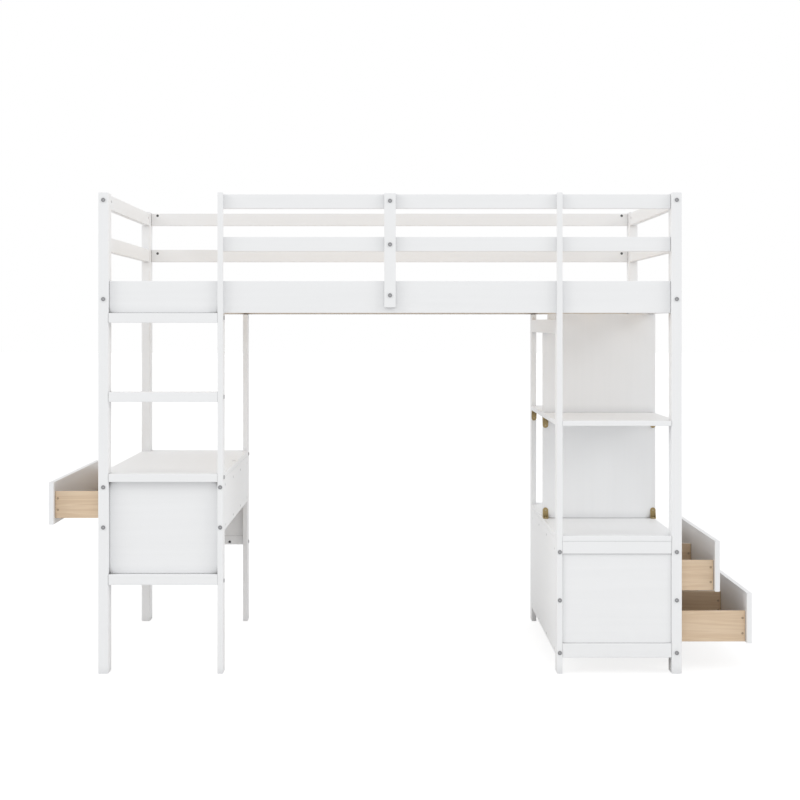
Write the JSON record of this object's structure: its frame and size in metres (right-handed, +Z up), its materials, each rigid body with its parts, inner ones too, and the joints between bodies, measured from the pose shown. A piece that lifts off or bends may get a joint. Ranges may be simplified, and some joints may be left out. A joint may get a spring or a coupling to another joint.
{
  "type": "loft bed with desk",
  "caption": "High twin bed on posts with guard rails and a ladder, over a desk with a drawer at one end and a two-drawer cabinet with shelves at the other.",
  "frame": {"origin": "floor level, in the middle of the footprint with the three drawers standing as stored; the middle of the bed frame itself is at X = -0.036", "axes": "+X along the bed towards the drawer cabinet, the ladder side faces -Y, +Z up"},
  "size_m": [2.506, 1.0798, 1.665],
  "materials": {
    "white_paint": "satin white paint over solid wood and board",
    "raw_pine": "unfinished planed pine",
    "drawer_pine": "clear satin lacquer on pine",
    "drawer_base": "smooth thin board",
    "brown_plastic": "moulded matt",
    "bolt_steel": "zinc plated",
    "knob": "satin white paint, turned"
  },
  "bodies": {
    "bed_frame": {"post_front_left": "white_paint", "post_front_right": "white_paint", "post_rear_left": "white_paint", "post_rear_right": "white_paint", "ladder_stile": "white_paint", "inner_post_front_right": "white_paint", "inner_post_rear_left": "white_paint", "inner_post_rear_right": "white_paint", "side_rail_front": "white_paint", "side_rail_rear": "white_paint", "guard_rails_front": "white_paint", "guard_rails_rear": "white_paint", "end_rails_left": "white_paint", "end_rails_right": "white_paint", "guard_straps": "white_paint", "slat_ledgers": "raw_pine", "slats": "raw_pine", "ladder_rungs": "white_paint", "desk_top": "white_paint", "desk_front_rails": "white_paint", "desk_front_panel": "white_paint", "desk_rear_rails": "white_paint", "desk_rear_panel": "white_paint", "desk_apron": "white_paint", "desk_cross_rails": "white_paint", "cabinet_top": "white_paint", "cabinet_side_panel": "white_paint", "cabinet_end_rails": "white_paint", "cabinet_end_panels": "white_paint", "cabinet_cross_rails": "white_paint", "drawer_runners": "raw_pine", "drawer_guides": "raw_pine", "shelf_panel": "white_paint", "shelves": "white_paint", "shelf_cross_rail": "white_paint", "angle_brackets": "brown_plastic", "bolts": "bolt_steel", "barrel_nuts": "bolt_steel", "panel_screws": "bolt_steel"},
    "desk_drawer": {"desk_drawer_front": "white_paint", "desk_drawer_sides": "drawer_pine", "desk_drawer_back": "drawer_pine", "desk_drawer_bottom": "drawer_base", "desk_drawer_knobs": "knob", "desk_drawer_connectors": "bolt_steel"},
    "upper_drawer": {"upper_drawer_front": "white_paint", "upper_drawer_sides": "drawer_pine", "upper_drawer_back": "drawer_pine", "upper_drawer_divider": "drawer_pine", "upper_drawer_bottom": "drawer_base", "upper_drawer_knobs": "knob", "upper_drawer_connectors": "bolt_steel"},
    "lower_drawer": {"lower_drawer_front": "white_paint", "lower_drawer_sides": "drawer_pine", "lower_drawer_back": "drawer_pine", "lower_drawer_divider": "drawer_pine", "lower_drawer_bottom": "drawer_base", "lower_drawer_knobs": "knob", "lower_drawer_connectors": "bolt_steel"}
  },
  "joints": [
    {"name": "desk_drawer_slide", "type": "slide", "parent": "bed_frame", "child": "desk_drawer", "axis": [-1, 0, 0], "range_m": [-0.174, 0.126]},
    {"name": "upper_drawer_slide", "type": "slide", "parent": "bed_frame", "child": "upper_drawer", "axis": [1, 0, 0], "range_m": [-0.134, 0.166]},
    {"name": "lower_drawer_slide", "type": "slide", "parent": "bed_frame", "child": "lower_drawer", "axis": [1, 0, 0], "range_m": [-0.246, 0.054]}
  ]
}
